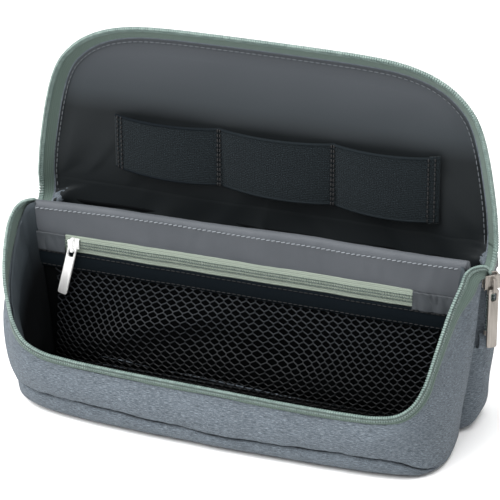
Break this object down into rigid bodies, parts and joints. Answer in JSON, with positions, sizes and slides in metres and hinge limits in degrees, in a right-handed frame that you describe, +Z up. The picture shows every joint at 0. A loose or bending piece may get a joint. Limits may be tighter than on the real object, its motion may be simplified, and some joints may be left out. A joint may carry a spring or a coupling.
{
  "type": "cable organizer pouch",
  "caption": "Soft zipped organizer pouch with two lobes, fold-back lid with elastic loops, mesh divider pocket and brushed metal zipper pullers",
  "frame": {"origin": "on the base of the front lobe, at the middle of the pouch's width and depth", "axes": "+X right along the pouch's length, +Y to the back, +Z up"},
  "size_m": [0.245, 0.092, 0.182],
  "materials": {
    "outer_fabric": "heather grey woven polyester",
    "lining_fabric": "smooth dark grey lining",
    "padding": "soft foam padding",
    "stiffener": "thin flexible board",
    "zip_tape": "sage green woven zipper tape",
    "zip_coil": "sage green zipper coil",
    "elastic": "dark speckled elastic webbing",
    "mesh": "black hexagonal mesh",
    "metal": "brushed nickel"
  },
  "bodies": {
    "pouch": {"front_wall_middle": "outer_fabric", "front_wall_left": "outer_fabric", "front_wall_right": "outer_fabric", "front_base_panel": "outer_fabric", "front_wall_pad": "padding", "front_base_pad": "padding", "front_lining": "lining_fabric", "front_floor_lining": "lining_fabric", "rear_gusset_middle": "outer_fabric", "rear_gusset_left": "outer_fabric", "rear_gusset_right": "outer_fabric", "back_panel": "outer_fabric", "back_pad": "padding", "rear_lining": "lining_fabric", "divider_board": "stiffener", "divider_lining": "lining_fabric", "divider_top_band": "lining_fabric", "pocket_tape_upper": "zip_tape", "pocket_tape_lower": "zip_tape", "pocket_coil": "zip_coil", "pocket_end_tabs": "lining_fabric", "mesh_band": "lining_fabric", "mesh_pocket": "mesh", "rim_coil": "zip_coil", "rim_tape": "zip_tape", "tail_coil": "zip_coil", "tail_tape": "zip_tape", "bottom_stop": "metal", "tail_tab": "outer_fabric"},
    "lid_lower": {"lid_fold_shell": "outer_fabric", "lid_fold_pad": "padding", "lid_fold_lining": "lining_fabric", "lid_fold_coil": "zip_coil", "lid_fold_tape": "zip_tape"},
    "lid_upper": {"lid_shell": "outer_fabric", "lid_pad": "padding", "lid_lining": "lining_fabric", "lid_coil": "zip_coil", "lid_tape": "zip_tape", "elastic_strap": "elastic"},
    "main_slider": {"main_slider": "metal"},
    "main_puller": {"main_puller": "metal"},
    "pocket_slider": {"pocket_slider": "metal"},
    "pocket_puller": {"pocket_puller": "metal"}
  },
  "joints": [
    {"name": "lid_hinge", "type": "hinge", "parent": "pouch", "child": "lid_lower", "pos_m": [0, 0.028, 0.084], "axis": [1, 0, 0], "range_deg": [0, 68.75]},
    {"name": "lid_fold", "type": "hinge", "parent": "lid_lower", "child": "lid_upper", "pos_m": [0, 0.028, 0.10331], "axis": [1, 0, 0], "range_deg": [0, 70.61]},
    {"name": "main_slider_travel", "type": "slide", "parent": "pouch", "child": "main_slider", "axis": [0, 0, 1], "range_m": [-0.014, 0]},
    {"name": "main_puller_swing", "type": "hinge", "parent": "main_slider", "child": "main_puller", "pos_m": [0.12285, 0.01172, 0.0798], "axis": [-0.766, -0.6428, 0], "range_deg": [0, 130]},
    {"name": "pocket_slider_travel", "type": "slide", "parent": "pouch", "child": "pocket_slider", "axis": [1, 0, 0], "range_m": [0, 0.1635]},
    {"name": "pocket_puller_swing", "type": "hinge", "parent": "pocket_slider", "child": "pocket_puller", "pos_m": [-0.091, 0.0052, 0.0698], "axis": [-1, 0, 0], "range_deg": [0, 52]}
  ],
  "couplings": [
    {"joint": "lid_fold", "follows": "lid_hinge", "ratio": 1.0271}
  ]
}
